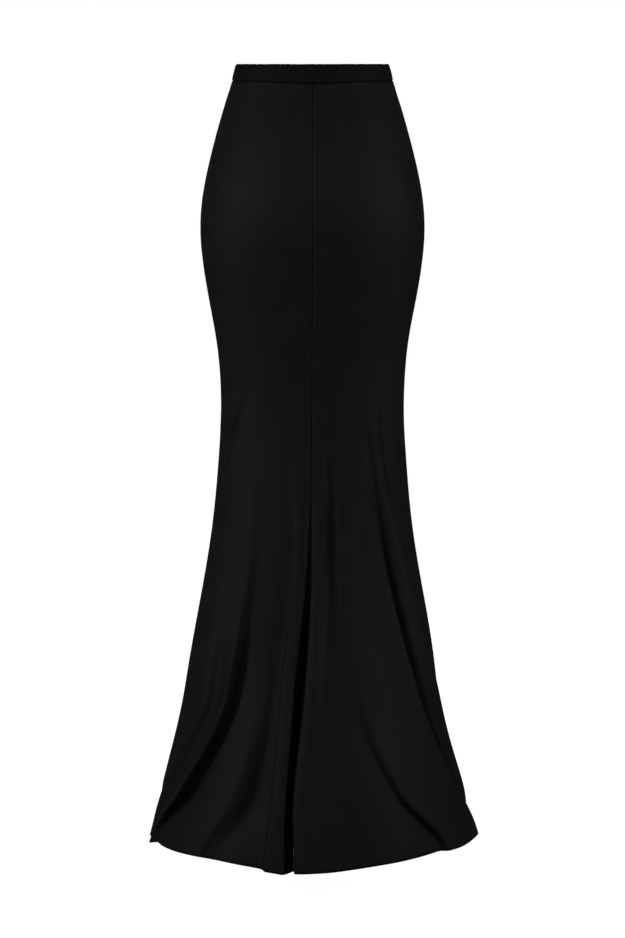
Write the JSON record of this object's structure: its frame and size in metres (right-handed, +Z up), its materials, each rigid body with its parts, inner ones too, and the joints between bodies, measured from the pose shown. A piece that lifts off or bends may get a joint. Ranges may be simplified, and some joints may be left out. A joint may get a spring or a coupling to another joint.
{
  "type": "mermaid fishtail skirt",
  "caption": "Floor-length hollow fishtail skirt of black jersey as worn: elastic waistband, close hips and knees, centre-back seam, and a flare of deep soft folds.",
  "frame": {"origin": "centre of the waist, halfway up the waistband, where the wearer holds the skirt", "axes": "+Z up; the wearer's back, with the centre-back seam, faces -Y and the front faces +Y; +X is on the right when the back is looked at"},
  "size_m": [0.4863, 0.3972, 1.1473],
  "materials": {
    "black_jersey": "matte knitted jersey with a faint sheen",
    "black_elastic_casing": "matte knitted jersey, slightly gathered over elastic"
  },
  "bodies": {
    "root": {"waistband": "black_elastic_casing", "back_left_panel": "black_jersey", "back_right_panel": "black_jersey", "front_panel": "black_jersey"}
  },
  "joints": []
}
